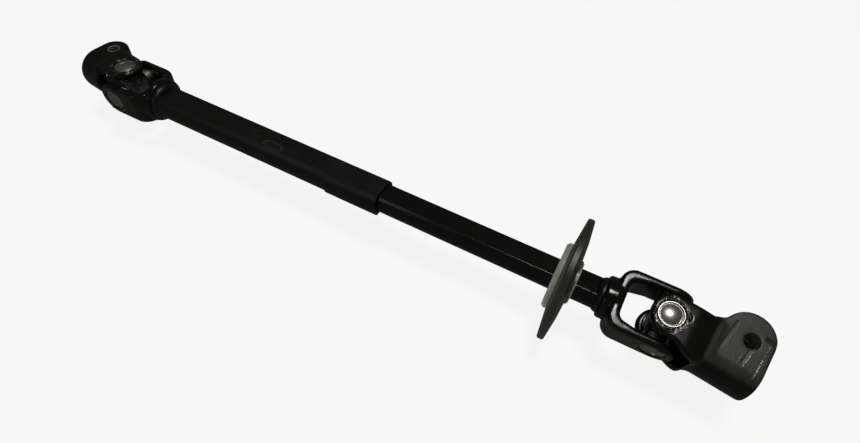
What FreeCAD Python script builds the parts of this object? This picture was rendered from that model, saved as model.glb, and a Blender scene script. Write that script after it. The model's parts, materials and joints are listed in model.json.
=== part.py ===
import FreeCAD, Part
import math
import os
from types import SimpleNamespace

import Sketcher

# Telescoping steering shaft with a universal joint and a clamp yoke at each end, in millimetres.
# +X runs along the shaft towards the lower (steering gear) end and +Z is square to the shaft's flats.
# The origin is the middle of the lower clamp bore.

Vector = FreeCAD.Vector
TOLERANCE = 1e-4
MARGIN = 1.0  # how far a cut reaches past the material
document = FreeCAD.newDocument("universal_joint_shaft")

DIMENSIONS = {
    # the whole shaft
    "joint_distance": 398.0,
    "lower_joint_roll": 17.3,
    "rest_bend": 7.0,
    # solid double-D bar
    "bar_radius": 9.525,
    "bar_flat": 7.15,
    "bar_end_from_joint": 290.0,
    "spigot_radius": 8.2,
    # double-D tube, its nylon liner and the bell at its open end
    "tube_wall": 1.5,
    "tube_mouth_from_joint": 181.5,
    "tube_bell_length": 38.0,
    "tube_bell_rise": 1.1,
    "liner_wall": 0.44,
    "liner_clearance": 0.035,
    "liner_length": 62.0,
    "liner_setback": 2.0,
    "stake_length": 9.0,
    "stake_radius": 1.9,
    "stake_depth": 0.6,
    "stake_from_mouth": 98.0,
    # forks of both joints
    "fork_half_span": 18.8,
    "fork_inner_gap": 13.6,
    "fork_throat_gap": 12.3,
    "ear_radius": 12.0,
    "fork_base_inner": 23.5,
    "fork_base_outer": 29.6,
    "lower_fork_corner": 8.0,
    "upper_fork_corner": 11.0,
    "fork_inner_corner": 4.5,
    "edge_round": 1.8,
    "clamp_end_round": 1.2,
    "lower_hub_radius": 13.0,
    "lower_hub_corner": 1.8,
    "lower_hub_end": 35.0,
    "upper_hub_radius": 15.6,
    "upper_hub_corner": 1.8,
    "upper_hub_end": 31.6,
    "tube_socket_depth": 6.0,
    "weld_radius": 1.9,
    "weld_slope": 0.8,
    "weld_setback": 0.4,
    # clamp yokes
    "clamp_arm_gap": 12.5,
    "clamp_ear_setback": 1.5,
    "clamp_crest_radius": 8.0,
    "clamp_root_radius": 8.6,
    "clamp_tooth_gap": 0.7,
    "clamp_tooth_run_in": 0.3,
    "clamp_teeth": 36.0,
    "clamp_slit": 3.0,
    "clamp_corner": 6.5,
    "bolt_hole_radius": 4.2,
    "bolt_tapped_radius": 3.4,
    "mouth_chamfer": 1.2,
    "lug_blend_angle": 155.0,
    "lug_run_in": 3.0,
    "lower_throat": 20.0,
    "lower_length": 52.1,
    "lower_barrel_radius": 16.5,
    "lower_seat_height": 16.0,
    "lower_slope_start": 12.5,
    "lower_skin_height": 16.7,
    "lower_skin_end": 26.0,
    "lower_bolt_x": 40.2,
    "lower_bolt_y": 9.8,
    "lower_lug_x": 38.5,
    "lower_lug_y": 11.5,
    "lower_lug_radius": 13.6,
    "lower_lug_blend": 7.0,
    "upper_throat": 15.0,
    "upper_deep_throat": 19.8,
    "upper_length": 39.4,
    "upper_barrel_radius": 15.6,
    "upper_seat_height": 15.6,
    "upper_slope_start": 15.0,
    "upper_skin_height": 18.8,
    "upper_skin_end": 17.4,
    "upper_bolt_x": 28.2,
    "upper_bolt_y": 9.8,
    "upper_lug_x": 28.4,
    "upper_lug_y": 9.0,
    "upper_lug_radius": 11.0,
    "upper_lug_blend": 3.0,
    # crosses and needle bearings
    "cup_radius": 7.5,
    "cup_inner_radius": 6.45,
    "cup_mouth": 9.6,
    "cup_floor": 16.6,
    "cup_top": 18.0,
    "cup_edge": 0.5,
    "cup_rim_inner": 6.6,
    "cup_dome_radius": 5.7,
    "cup_groove_width": 0.5,
    "cup_groove_depth": 0.8,
    "cup_dome_rise": 0.6,
    "trunnion_radius": 4.45,
    "trunnion_tip": 15.5,
    "trunnion_chamfer": 0.7,
    "cross_hub_radius": 7.6,
    "cross_shoulder": 8.6,
    "cross_shoulder_rise": 1.6,
    "cross_shoulder_depth": 2.6,
    "needle_radius": 0.95,
    "needle_start": 10.6,
    "needle_length": 4.8,
    "needles_per_cup": 17.0,
    "seal_lip_radius": 7.1,
    "seal_lip_height": 0.7,
    "seal_plug_depth": 0.8,
    "seal_clearance": 0.1,
    "pad_clearance": 0.3,
    # bulkhead seal
    "disc_radius": 38.2,
    "disc_from_joint": 57.0,
    "disc_rim": 4.2,
    "disc_rim_chamfer": 0.8,
    "disc_bulge_left": 1.8,
    "disc_bulge_right": 2.4,
    "disc_shoulder_radius": 25.0,
    "disc_shoulder_rise": 1.7,
    "disc_hub_radius": 14.6,
    "disc_bore_radius": 12.6,
    "bushing_radius": 20.6,
    "bushing_flange": 3.2,
    "bushing_chamfer": 1.4,
    "bushing_clearance": 0.05,
    "bushing_lip": 0.7,
    "ring_radius": 13.6,
    "ring_width": 1.0,
    "ring_groove_depth": 0.9,
}


class Size:
    """A number together with the spreadsheet formula that it comes from."""

    def __init__(self, value, formula):
        self.value = value
        self.formula = formula

    def combine(self, other, sign, value):
        return Size(value, f"({self.formula} {sign} {as_size(other).formula})")

    def __add__(self, other):
        return self.combine(other, "+", self.value + as_size(other).value)

    def __sub__(self, other):
        return self.combine(other, "-", self.value - as_size(other).value)

    def __mul__(self, other):
        return self.combine(other, "*", self.value * as_size(other).value)

    def __truediv__(self, other):
        return self.combine(other, "/", self.value / as_size(other).value)

    def __neg__(self):
        return Size(-self.value, f"(0 - {self.formula})")

    def __radd__(self, other):
        return as_size(other) + self

    def __rsub__(self, other):
        return as_size(other) - self


def as_size(number):
    return number if isinstance(number, Size) else Size(float(number), f"{float(number):.6f}")


def make_sheet():
    """Writes the driving dimensions into a spreadsheet and returns them as named sizes."""
    sheet = document.addObject("Spreadsheet::Sheet", "sizes")
    for row, (name, number) in enumerate(DIMENSIONS.items(), start=1):
        sheet.set(f"A{row}", name.replace("_", " "))
        sheet.set(f"B{row}", str(number))
        sheet.setAlias(f"B{row}", name)
    sheet.recompute()
    return SimpleNamespace(**{name: Size(number, f"sizes.{name}") for name, number in DIMENSIONS.items()})


size = make_sheet()


# ---------------------------------------------------------------- drawing and feature helpers


def bind(thing, prop, amount):
    """Sets a property and ties it to the spreadsheet."""
    amount = as_size(amount)
    thing.setExpression(prop, amount.formula)


def origin_feature(body, role):
    return next(feature for feature in body.Origin.OriginFeatures if feature.Role == role)


def new_sketch(body, name, plane, lift=None):
    """A sketch on one of the body's origin planes, moved along that plane's normal by lift."""
    sketch = body.newObject("Sketcher::SketchObject", name)
    sketch.AttachmentSupport = [(origin_feature(body, plane), "")]
    sketch.MapMode = "FlatFace"
    if lift is not None:
        sketch.AttachmentOffset = FreeCAD.Placement(Vector(0, 0, lift.value), FreeCAD.Rotation())
        bind(sketch, "AttachmentOffset.Base.z", lift)
    return sketch


def tie(sketch, geometry, point, x, y):
    """Fixes one point of the sketch at x, y."""
    for kind, axis, amount in (("DistanceX", -2, x), ("DistanceY", -1, y)):
        if amount.value == 0:
            sketch.addConstraint(Sketcher.Constraint("PointOnObject", geometry, point, axis))
        else:
            index = sketch.addConstraint(Sketcher.Constraint(kind, -1, 1, geometry, point, amount.value))
            sketch.setExpression(f"Constraints[{index}]", amount.formula)


def add_circle(sketch, x, y, radius):
    x, y, radius = as_size(x), as_size(y), as_size(radius)
    circle = Part.Circle(Vector(x.value, y.value, 0), Vector(0, 0, 1), radius.value)
    geometry = sketch.addGeometry(circle, False)
    tie(sketch, geometry, 3, x, y)
    index = sketch.addConstraint(Sketcher.Constraint("Radius", geometry, radius.value))
    sketch.setExpression(f"Constraints[{index}]", radius.formula)


def with_sizes(corner):
    """A corner of an outline with its numbers made into sizes."""
    return tuple(item if isinstance(item, str) else as_size(item) for item in corner)


def add_outline(sketch, corners):
    """Draws a closed outline through corners (x, y).

    A corner written (x, y, centre_x, centre_y, turn) is reached by an arc about that centre, which turns
    left (anticlockwise) or right.
    """
    corners = [with_sizes(corner) for corner in corners]
    pieces = []
    for previous, corner in zip([corners[-1], *corners[:-1]], corners):
        start = Vector(previous[0].value, previous[1].value, 0)
        end = Vector(corner[0].value, corner[1].value, 0)
        if len(corner) == 2:
            pieces.append((sketch.addGeometry(Part.LineSegment(start, end), False), 1, 2))
            continue
        centre = Vector(corner[2].value, corner[3].value, 0)
        circle = Part.Circle(centre, Vector(0, 0, 1), (end - centre).Length)
        angles = [math.atan2(point.y - centre.y, point.x - centre.x) for point in (start, end)]
        if corner[4] == "left":
            geometry = sketch.addGeometry(Part.ArcOfCircle(circle, angles[0], angles[1]), False)
            pieces.append((geometry, 1, 2))
        else:
            geometry = sketch.addGeometry(Part.ArcOfCircle(circle, angles[1], angles[0]), False)
            pieces.append((geometry, 2, 1))
        chord = end - start
        if abs(chord.y) > abs(chord.x):
            kind, axis, amount = "DistanceX", -2, corner[2]
        else:
            kind, axis, amount = "DistanceY", -1, corner[3]
        if amount.value == 0:
            sketch.addConstraint(Sketcher.Constraint("PointOnObject", geometry, 3, axis))
        else:
            index = sketch.addConstraint(Sketcher.Constraint(kind, -1, 1, geometry, 3, amount.value))
            sketch.setExpression(f"Constraints[{index}]", amount.formula)
    for piece, corner, following in zip(pieces, corners, [*pieces[1:], pieces[0]]):
        geometry, _, end_point = piece
        next_geometry, next_start, _ = following
        sketch.addConstraint(
            Sketcher.Constraint("Coincident", geometry, end_point, next_geometry, next_start)
        )
        tie(sketch, geometry, end_point, corner[0], corner[1])


def new_body(label):
    body = document.addObject("PartDesign::Body", label)
    body.Label = label
    return body


def extrude(body, kind, sketch, length, symmetric=False, reverse=False):
    """Adds a Pad or a Pocket of the sketch; a Pocket that removes nothing is an error."""
    before = body.Tip
    feature = body.newObject(f"PartDesign::{kind}", f"{sketch.Name}_{kind.lower()}")
    feature.Profile = sketch
    feature.SideType = "Symmetric" if symmetric else "One side"
    feature.Reversed = reverse
    bind(feature, "Length", length)
    document.recompute()
    if kind == "Pocket" and feature.Shape.Volume > before.Shape.Volume - 0.01:
        raise RuntimeError(f"{feature.Name} removes nothing")
    return feature


def turn(body, kind, sketch, axis):
    """Adds a Revolution or cuts a Groove of the sketch round an origin axis of the body."""
    before = body.Tip
    feature = body.newObject(f"PartDesign::{kind}", f"{sketch.Name}_{kind.lower()}")
    feature.Profile = sketch
    feature.ReferenceAxis = (origin_feature(body, axis), [""])
    feature.Angle = 360.0
    document.recompute()
    if kind == "Groove" and feature.Shape.Volume > before.Shape.Volume - 0.01:
        raise RuntimeError(f"{feature.Name} removes nothing")
    return feature


def round_edges(body, radius, wanted):
    """Fillets the edges of the body's last feature that wanted(edge) picks."""
    base = body.Tip
    names = [f"Edge{index}" for index, edge in enumerate(base.Shape.Edges, start=1) if wanted(edge)]
    fillet = body.newObject("PartDesign::Fillet", f"{base.Name}_rounding")
    fillet.Base = (base, names)
    bind(fillet, "Radius", radius)
    document.recompute()
    return fillet


def half_chord(radius, offset):
    """Half the width of a circle where it is cut by a line at offset from its centre."""
    width = math.sqrt(radius.value**2 - offset.value**2)
    return Size(width, f"sqrt({radius.formula}^2 - {offset.formula}^2)")


def double_d(radius, flat):
    """Outline of a double-D section in the YZ plane: round on the +Y and -Y sides, flat at +Z and -Z."""
    half = half_chord(radius, flat)
    return [(half, -flat), (half, flat, 0, 0, "left"), (-half, flat), (-half, -flat, 0, 0, "left")]


# ---------------------------------------------------------------- places


def local_frame(origin, x_axis, z_axis):
    """Placement whose X and Z axes point along the two given directions."""
    return FreeCAD.Placement(origin, FreeCAD.Rotation(x_axis, z_axis.cross(x_axis), z_axis, "ZXY"))


def spin(axis, degrees, vector):
    return FreeCAD.Rotation(axis, degrees).multVec(vector)


LEFT = Vector(-1, 0, 0)
RIGHT = Vector(1, 0, 0)
BACK = Vector(0, 1, 0)
UP = Vector(0, 0, 1)

lower_pin = spin(RIGHT, size.lower_joint_roll.value, UP)
lower_outward = spin(lower_pin, -size.rest_bend.value, RIGHT)
upper_outward = spin(UP, -size.rest_bend.value, LEFT)
clamp_middle = (size.lower_throat + size.lower_length) / 2
lower_joint = lower_outward * -clamp_middle.value
upper_joint = lower_joint + LEFT * size.joint_distance.value

PLACES = {
    "shaft": FreeCAD.Placement(lower_joint, FreeCAD.Rotation()),
    "lower_shaft_side": local_frame(lower_joint, RIGHT, spin(RIGHT, size.lower_joint_roll.value, BACK)),
    "upper_shaft_side": local_frame(upper_joint, LEFT, BACK),
    "lower_end_side": local_frame(lower_joint, lower_outward, lower_pin),
    "upper_end_side": local_frame(upper_joint, upper_outward, UP * -1),
    "lower_cross": local_frame(lower_joint, RIGHT, lower_pin),
    "upper_cross": local_frame(upper_joint, LEFT, UP * -1),
}

sub_parts = []


def finish(thing, place):
    """Puts a finished sub-part in its place in the assembly."""
    thing.Placement = PLACES[place]
    sub_parts.append(thing)


# ---------------------------------------------------------------- bar, tube and liner
# These are drawn with x = 0 at the lower joint's centre.


def tube_section():
    """Outer radius and outer flat of the tube."""
    skin = size.liner_clearance + size.liner_wall + size.tube_wall
    return size.bar_radius + skin, size.bar_flat + skin


def make_inner_shaft():
    """Solid double-D bar with a round spigot that goes through the lower fork."""
    body = new_body("inner_shaft")
    section = new_sketch(body, "bar_section", "YZ_Plane", -size.bar_end_from_joint)
    add_outline(section, double_d(size.bar_radius, size.bar_flat))
    extrude(body, "Pad", section, size.bar_end_from_joint - size.lower_hub_end)
    spigot = new_sketch(body, "spigot_section", "YZ_Plane", -size.lower_hub_end)
    add_circle(spigot, 0, 0, size.spigot_radius)
    extrude(body, "Pad", spigot, size.lower_hub_end - size.fork_base_inner)
    finish(body, "shaft")


def make_outer_tube():
    """Double-D tube, swelled on its front side near the mouth, with a stake mark on its upper flat."""
    body = new_body("outer_tube")
    outer_radius, outer_flat = tube_section()
    length = size.joint_distance - size.tube_mouth_from_joint - size.upper_hub_end + size.tube_socket_depth
    section = new_sketch(body, "tube_section", "YZ_Plane", -(length + size.tube_mouth_from_joint))
    add_outline(section, double_d(outer_radius, outer_flat))
    extrude(body, "Pad", section, length)
    bell_start = -(size.tube_mouth_from_joint + size.tube_bell_length)
    bell = new_sketch(body, "bell_section", "YZ_Plane", bell_start)
    rise = size.tube_bell_rise
    side = -(half_chord(outer_radius, outer_flat) + rise)
    add_outline(
        bell,
        [
            (0, -outer_flat),
            (0, outer_flat),
            (side, outer_flat),
            (side, -outer_flat, -rise, 0, "left"),
        ],
    )
    extrude(body, "Pad", bell, size.tube_bell_length)
    hollow = new_sketch(body, "tube_hollow", "YZ_Plane", -(length + size.tube_mouth_from_joint))
    add_outline(hollow, double_d(outer_radius - size.tube_wall, outer_flat - size.tube_wall))
    extrude(body, "Pocket", hollow, length, reverse=True)
    stake = new_sketch(body, "stake_mark", "XY_Plane", outer_flat)
    middle = -(size.tube_mouth_from_joint + size.stake_from_mouth)
    reach = size.stake_length / 2 - size.stake_radius
    lower, upper = -size.stake_radius, size.stake_radius
    add_outline(
        stake,
        [
            (middle + reach, lower),
            (middle + reach, upper, middle + reach, 0, "left"),
            (middle - reach, upper),
            (middle - reach, lower, middle - reach, 0, "left"),
        ],
    )
    extrude(body, "Pocket", stake, size.stake_depth)
    finish(body, "shaft")


def make_slip_liner():
    """Nylon sleeve fixed in the tube's mouth, which the bar slides in."""
    body = new_body("slip_liner")
    start = -(size.tube_mouth_from_joint + size.liner_setback + size.liner_length)
    section = new_sketch(body, "liner_section", "YZ_Plane", start)
    inner_radius = size.bar_radius + size.liner_clearance
    inner_flat = size.bar_flat + size.liner_clearance
    add_outline(section, double_d(inner_radius + size.liner_wall, inner_flat + size.liner_wall))
    add_outline(section, double_d(inner_radius, inner_flat))
    extrude(body, "Pad", section, size.liner_length)
    finish(body, "shaft")


# ---------------------------------------------------------------- bulkhead seal


def disc_faces():
    """Left and right end of the disc's hub along the shaft."""
    half = size.disc_rim / 2
    left = -(size.disc_from_joint + half + size.disc_bulge_left)
    right = half + size.disc_bulge_right - size.disc_from_joint
    return left, right


def make_seal_disc():
    """Lens-shaped disc that closes the hole in the bulkhead round the shaft."""
    body = new_body("seal_disc")
    profile = new_sketch(body, "disc_profile", "XZ_Plane")
    left, right = disc_faces()
    rim_left = left + size.disc_bulge_left
    rim_right = right - size.disc_bulge_right
    inner, outer, chamfer = size.disc_bore_radius, size.disc_radius, size.disc_rim_chamfer
    add_outline(
        profile,
        [
            (left, inner),
            (right, inner),
            (right, size.disc_hub_radius),
            (rim_right + size.disc_shoulder_rise, size.disc_shoulder_radius),
            (rim_right, outer - chamfer),
            (rim_right - chamfer, outer),
            (rim_left + chamfer, outer),
            (rim_left, outer - chamfer),
            (left, size.bushing_radius),
        ],
    )
    turn(body, "Revolution", profile, "X_Axis")
    finish(body, "shaft")


def ring_groove():
    """Left end of the retaining ring's groove and its floor radius."""
    return disc_faces()[1] + size.bushing_clearance, size.disc_bore_radius - size.ring_groove_depth


def make_seal_bushing():
    """White nylon bushing: a flange on the disc's left side and a sleeve through the disc's bore."""
    body = new_body("seal_bushing")
    profile = new_sketch(body, "bushing_profile", "XZ_Plane")
    clearance = size.bushing_clearance
    face = disc_faces()[0] - clearance
    start = face - size.bushing_flange
    sleeve = size.disc_bore_radius - clearance
    groove, floor = ring_groove()
    end = groove + size.ring_width + size.bushing_lip
    core = size.bar_flat - MARGIN
    add_outline(
        profile,
        [
            (start, core),
            (end, core),
            (end, sleeve),
            (groove + size.ring_width, sleeve),
            (groove + size.ring_width, floor),
            (groove, floor),
            (groove, sleeve),
            (face, sleeve),
            (face, size.bushing_radius),
            (start + size.bushing_chamfer, size.bushing_radius),
            (start, size.bushing_radius - size.bushing_chamfer),
        ],
    )
    turn(body, "Revolution", profile, "X_Axis")
    hole = new_sketch(body, "bushing_hole", "YZ_Plane", start - MARGIN)
    add_outline(hole, double_d(size.bar_radius + clearance, size.bar_flat + clearance))
    extrude(body, "Pocket", hole, end - start + MARGIN * 2, reverse=True)
    finish(body, "shaft")


def make_seal_ring():
    """Spring ring in the bushing's groove, which keeps the disc on."""
    body = new_body("seal_retaining_ring")
    left, floor = ring_groove()
    section = new_sketch(body, "ring_section", "YZ_Plane", left)
    add_circle(section, 0, 0, size.ring_radius)
    add_circle(section, 0, 0, floor)
    extrude(body, "Pad", section, size.ring_width)
    finish(body, "shaft")


# ---------------------------------------------------------------- forks
# A fork is drawn with its joint at the origin, its pin along Z and its arms pointing along +X.


def draw_fork_arms(body, name, big):
    """The U of a fork, seen from its side, made as deep as the ears are wide."""
    outline = new_sketch(body, f"{name}_outline", "XZ_Plane")
    tip, outer, inner = size.ear_radius, size.fork_half_span, size.fork_throat_gap
    back, throat = -size.fork_base_outer, -size.fork_base_inner
    small, opening = size.fork_inner_corner, size.fork_inner_gap
    add_outline(
        outline,
        [
            (tip, -outer),
            (tip, -opening),
            (-tip, -opening),
            (throat + small, -inner),
            (throat, small - inner, throat + small, small - inner, "right"),
            (throat, inner - small),
            (throat + small, inner, throat + small, inner - small, "right"),
            (-tip, opening),
            (tip, opening),
            (tip, outer),
            (back + big, outer),
            (back, outer - big, back + big, outer - big, "left"),
            (back, big - outer),
            (back + big, -outer, back + big, big - outer, "left"),
        ],
    )
    extrude(body, "Pad", outline, size.ear_radius * 2, symmetric=True)


def cut_ear_tips(body, name, towards, setback):
    """Rounds the arms' ends; towards is +1 or -1, the way that the arms point along X.

    The round's centre lies setback behind the pin, which leaves the ear a little short.
    """
    outline = new_sketch(body, f"{name}_ear_tips", "XY_Plane")
    radius = size.ear_radius
    middle = as_size(setback) * -towards
    side = radius + MARGIN
    far = side * towards
    add_outline(
        outline,
        [
            (middle, radius),
            (middle, -radius, middle, 0, "right" if towards > 0 else "left"),
            (middle, -side),
            (far, -side),
            (far, side),
            (middle, side),
        ],
    )
    extrude(body, "Pocket", outline, (size.fork_half_span + MARGIN) * 2, symmetric=True)


def cut_pin_holes(body, name):
    """The two aligned holes that the bearing cups are pressed into."""
    hole = new_sketch(body, f"{name}_pin_holes", "XY_Plane")
    add_circle(hole, 0, 0, size.cup_radius)
    extrude(body, "Pocket", hole, (size.fork_half_span + MARGIN) * 2, symmetric=True)


def on_arm_side(edge):
    """True for the edges round the arms' side faces and ear tips, where a forging is rounded."""
    width = size.ear_radius.value
    ends = [vertex.Point for vertex in edge.Vertexes]
    if len(ends) != 2 or any(abs(abs(point.y) - width) > TOLERANCE for point in ends):
        return False
    curved = edge.Length > ends[0].distanceToPoint(ends[1]) + TOLERANCE
    along_side = abs(ends[0].y - ends[1].y) < TOLERANCE
    smooth_seam = along_pin(edge) and ends[0].z * ends[1].z > 0
    return curved or (along_side and not smooth_seam)


def along_pin(edge):
    start, end = (vertex.Point for vertex in edge.Vertexes)
    return abs(start.x - end.x) + abs(start.y - end.y) < TOLERANCE


def make_shaft_fork(end):
    """Fork at the end of the bar or the tube: a U-shaped forging with a round hub behind it."""
    label = f"{end}_shaft_yoke"
    body = new_body(label)
    draw_fork_arms(body, label, getattr(size, f"{end}_fork_corner"))
    cut_ear_tips(body, label, 1, 0)
    round_edges(body, size.edge_round, on_arm_side)
    radius, corner, hub_end = hub_sizes(end)
    hub = new_sketch(body, f"{label}_hub", "XZ_Plane")
    front = -(size.fork_base_inner + size.fork_base_outer) / 2
    add_outline(
        hub,
        [
            (front, 0),
            (front, radius),
            (corner - hub_end, radius),
            (-hub_end, radius - corner, corner - hub_end, radius - corner, "left"),
            (-hub_end, 0),
        ],
    )
    turn(body, "Revolution", hub, "X_Axis")
    cut_pin_holes(body, label)
    return body


def hub_sizes(end):
    """Radius, corner radius and end of a shaft fork's hub."""
    return tuple(getattr(size, f"{end}_hub_{name}") for name in ("radius", "corner", "end"))


def make_shaft_forks():
    lower = make_shaft_fork("lower")
    socket = new_sketch(lower, "spigot_socket", "YZ_Plane", -(size.lower_hub_end + MARGIN))
    add_circle(socket, 0, 0, size.spigot_radius)
    extrude(lower, "Pocket", socket, size.lower_hub_end, reverse=True)
    finish(lower, "lower_shaft_side")

    upper = make_shaft_fork("upper")
    socket = new_sketch(upper, "tube_socket", "YZ_Plane", -(size.upper_hub_end + MARGIN))
    add_outline(socket, turned_double_d(*tube_section()))
    extrude(upper, "Pocket", socket, size.tube_socket_depth + MARGIN, reverse=True)
    finish(upper, "upper_shaft_side")


def turned_double_d(radius, flat):
    """Double-D section with its flats facing +Y and -Y, as they lie in the upper fork's own frame."""
    return [(y, -x, *arc) for x, y, *arc in double_d(radius, flat)]


def make_weld_bead(end, place, outline):
    """Fillet weld between a fork's hub and the shaft, down to the shaft's double-D surface."""
    label = f"{end}_weld_bead"
    body = new_body(label)
    profile = new_sketch(body, f"{label}_profile", "XZ_Plane")
    radius, corner, hub_end = hub_sizes(end)
    root = radius - corner - size.weld_setback
    width = size.weld_radius * 2
    tail = -(hub_end + width)
    add_outline(
        profile,
        [
            (-hub_end, 0),
            (-hub_end, root),
            (tail, root - width * size.weld_slope, -hub_end, root - width, "left"),
            (tail, 0),
        ],
    )
    turn(body, "Revolution", profile, "X_Axis")
    hole = new_sketch(body, f"{label}_hole", "YZ_Plane", tail - MARGIN)
    add_outline(hole, outline)
    extrude(body, "Pocket", hole, width + MARGIN * 2, reverse=True)
    finish(body, place)


# ---------------------------------------------------------------- clamp yokes
# A clamp yoke is drawn with its joint at the origin, its pin along Z, its arms pointing along -X and its
# clamp at the +X end, with the pinch bolt on the +Y side of the bore.


def clamp_sizes(end):
    """The sizes of the lower or the upper clamp yoke, under the same names for both."""
    prefix = f"{end}_"
    names = [name for name in DIMENSIONS if name.startswith(prefix)]
    return SimpleNamespace(**{name.removeprefix(prefix): getattr(size, name) for name in names})


def draw_clamp_arms(body, name, clamp):
    """The U of the clamp yoke, whose outer skin slopes in from the ears towards the clamp."""
    outline = new_sketch(body, f"{name}_outline", "XZ_Plane")
    tip, outer, inner = -size.ear_radius, size.fork_half_span, size.clamp_arm_gap
    throat, small = clamp.throat, size.fork_inner_corner
    add_outline(
        outline,
        [
            (tip, inner),
            (throat - small, inner),
            (throat, inner - small, throat - small, inner - small, "right"),
            (throat, small - inner),
            (throat - small, -inner, throat - small, small - inner, "right"),
            (tip, -inner),
            (tip, -outer),
            (clamp.slope_start, -outer),
            (clamp.skin_end, -clamp.skin_height),
            (clamp.skin_end, clamp.skin_height),
            (clamp.slope_start, outer),
            (tip, outer),
        ],
    )
    extrude(body, "Pad", outline, size.ear_radius * 2, symmetric=True)


def draw_clamp_head(body, name, clamp):
    """Clamp: a barrel, flat on top as far as the bolt seat, with a lug for the pinch bolt."""
    section = new_sketch(body, f"{name}_head", "YZ_Plane", clamp.throat)
    radius, seat = clamp.barrel_radius, clamp.seat_height
    edge = half_chord(radius, seat)
    reach = clamp.lug_y + clamp.lug_radius
    corner = size.clamp_corner
    side = corner - radius
    add_outline(
        section,
        [
            (side, seat),
            (-radius, seat - corner, side, seat - corner, "left"),
            (-radius, 0),
            (edge, -seat, 0, 0, "left"),
            (reach, -seat),
            (reach, seat),
        ],
    )
    extrude(body, "Pad", section, clamp.length - clamp.throat)


def deepen_throat(body, name, clamp):
    """Carries the gap between the arms into the head, where the neck is too short for the fork to swing."""
    inner, small, floor = size.clamp_arm_gap, size.fork_inner_corner, clamp.deep_throat
    start = clamp.throat - small
    gap = new_sketch(body, f"{name}_deep_throat", "XZ_Plane")
    add_outline(
        gap,
        [
            (start, -inner),
            (floor - small, -inner),
            (floor, small - inner, floor - small, small - inner, "left"),
            (floor, inner - small),
            (floor - small, inner, floor - small, inner - small, "left"),
            (start, inner),
        ],
    )
    extrude(body, "Pocket", gap, (clamp.lug_y + clamp.lug_radius + MARGIN) * 2, symmetric=True)


def round_clamp_lug(body, name, clamp):
    """Rounds the lug and blends it into the neck."""
    angle = size.lug_blend_angle
    cosine = Size(math.cos(math.radians(angle.value)), f"cos({angle.formula})")
    sine = Size(math.sin(math.radians(angle.value)), f"sin({angle.formula})")
    lug_x, lug_y, lug, blend = clamp.lug_x, clamp.lug_y, clamp.lug_radius, clamp.lug_blend
    blend_x = lug_x + cosine * (lug + blend)
    blend_y = lug_y + sine * (lug + blend)
    before = blend_x - size.lug_run_in
    above = lug_y + lug + MARGIN
    beyond = clamp.length + MARGIN
    outline = new_sketch(body, f"{name}_lug_outline", "XY_Plane")
    add_outline(
        outline,
        [
            (lug_x + cosine * lug, lug_y + sine * lug, lug_x, lug_y, "left"),
            (blend_x, blend_y - blend, blend_x, blend_y, "right"),
            (before, blend_y - blend),
            (before, above),
            (beyond, above),
            (beyond, lug_y),
            (lug_x + lug, lug_y),
        ],
    )
    extrude(body, "Pocket", outline, (clamp.seat_height + MARGIN) * 2, symmetric=True)


def cut_clamp_bore(body, name, clamp):
    """Serrated bore with a chamfered mouth."""
    mouth = new_sketch(body, f"{name}_mouth", "XZ_Plane")
    crest, chamfer, end = size.clamp_crest_radius, size.mouth_chamfer, clamp.length
    start, beyond = end - chamfer, end + MARGIN
    add_outline(mouth, [(start, 0), (beyond, 0), (beyond, crest + chamfer + MARGIN), (start, crest)])
    turn(body, "Groove", mouth, "X_Axis")
    bore = new_sketch(body, f"{name}_bore", "YZ_Plane", beyond)
    add_circle(bore, 0, 0, crest)
    extrude(body, "Pocket", bore, beyond - clamp.throat + MARGIN)
    tooth = new_sketch(body, f"{name}_tooth", "YZ_Plane", beyond)
    root = size.clamp_root_radius
    inside = crest - size.clamp_tooth_run_in
    half = size.clamp_tooth_gap / 2 * (root - inside) / (root - crest)
    add_outline(tooth, [(inside, -half), (root, 0), (inside, half)])
    groove = extrude(body, "Pocket", tooth, beyond - clamp.throat + MARGIN)
    pattern = body.newObject("PartDesign::PolarPattern", f"{name}_teeth")
    pattern.Originals = [groove]
    pattern.Axis = (origin_feature(body, "X_Axis"), [""])
    pattern.Angle = 360.0
    bind(pattern, "Occurrences", size.clamp_teeth)
    body.Tip = pattern
    document.recompute()


def cut_pinch_bolt(body, name, clamp):
    """Slit through the lug, clearance hole in its upper half and tapped hole in its lower half."""
    slit = new_sketch(body, f"{name}_slit", "XY_Plane")
    start, end = clamp.throat - MARGIN, clamp.length + MARGIN
    reach = clamp.lug_y + clamp.lug_radius + MARGIN
    add_outline(slit, [(start, 0), (end, 0), (end, reach), (start, reach)])
    extrude(body, "Pocket", slit, size.clamp_slit, symmetric=True)
    for half, radius in (("upper", size.bolt_hole_radius), ("lower", size.bolt_tapped_radius)):
        hole = new_sketch(body, f"{name}_{half}_hole", "XY_Plane")
        add_circle(hole, clamp.bolt_x, clamp.bolt_y, radius)
        extrude(body, "Pocket", hole, clamp.seat_height + MARGIN, reverse=half == "upper")


def make_clamp_yoke(end):
    clamp = clamp_sizes(end)
    label = f"{end}_end_yoke"
    body = new_body(label)
    draw_clamp_arms(body, label, clamp)
    cut_ear_tips(body, label, -1, size.clamp_ear_setback)
    round_edges(body, size.edge_round, lambda edge: on_arm_side(edge) and not along_pin(edge))
    draw_clamp_head(body, label, clamp)
    round_edges(body, size.clamp_end_round, lambda edge: on_end_face(edge, clamp.length))
    round_clamp_lug(body, label, clamp)
    if end == "upper":
        deepen_throat(body, label, clamp)
    cut_clamp_bore(body, label, clamp)
    cut_pinch_bolt(body, label, clamp)
    cut_pin_holes(body, label)
    finish(body, f"{end}_end_side")


def on_end_face(edge, end):
    """True for the edges round the clamp's end face."""
    return all(abs(vertex.Point.x - end.value) < TOLERANCE for vertex in edge.Vertexes)


# ---------------------------------------------------------------- crosses and needle bearings
# Bearing parts are drawn with the joint at the origin and their trunnion along Z.


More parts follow.
